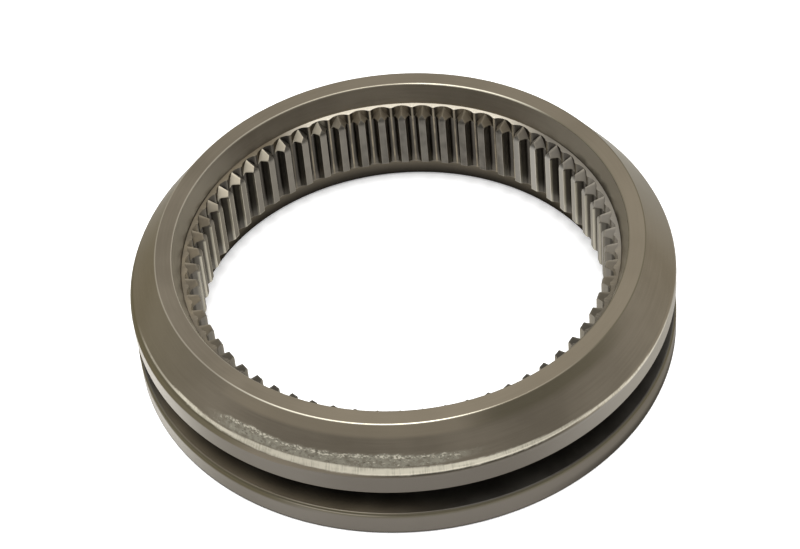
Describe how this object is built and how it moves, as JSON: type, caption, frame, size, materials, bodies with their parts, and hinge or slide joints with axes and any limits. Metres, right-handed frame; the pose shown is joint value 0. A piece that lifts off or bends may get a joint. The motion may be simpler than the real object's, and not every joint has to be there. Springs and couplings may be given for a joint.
{
  "type": "gearbox sliding sleeve",
  "caption": "Steel gearbox sliding sleeve: a flanged ring with pointed internal spline teeth, a coned upper side and a shift-fork groove around its outside.",
  "frame": {"origin": "centre of the ring on its lower end face", "axes": "+Z along the ring's axis, from the lower end face to the coned upper side; +X through the middle of one tooth"},
  "size_m": [0.1578, 0.1578, 0.036],
  "materials": {
    "steel": "worn satin, warm grey"
  },
  "bodies": {
    "root": {"sliding_sleeve": "steel"}
  },
  "joints": []
}
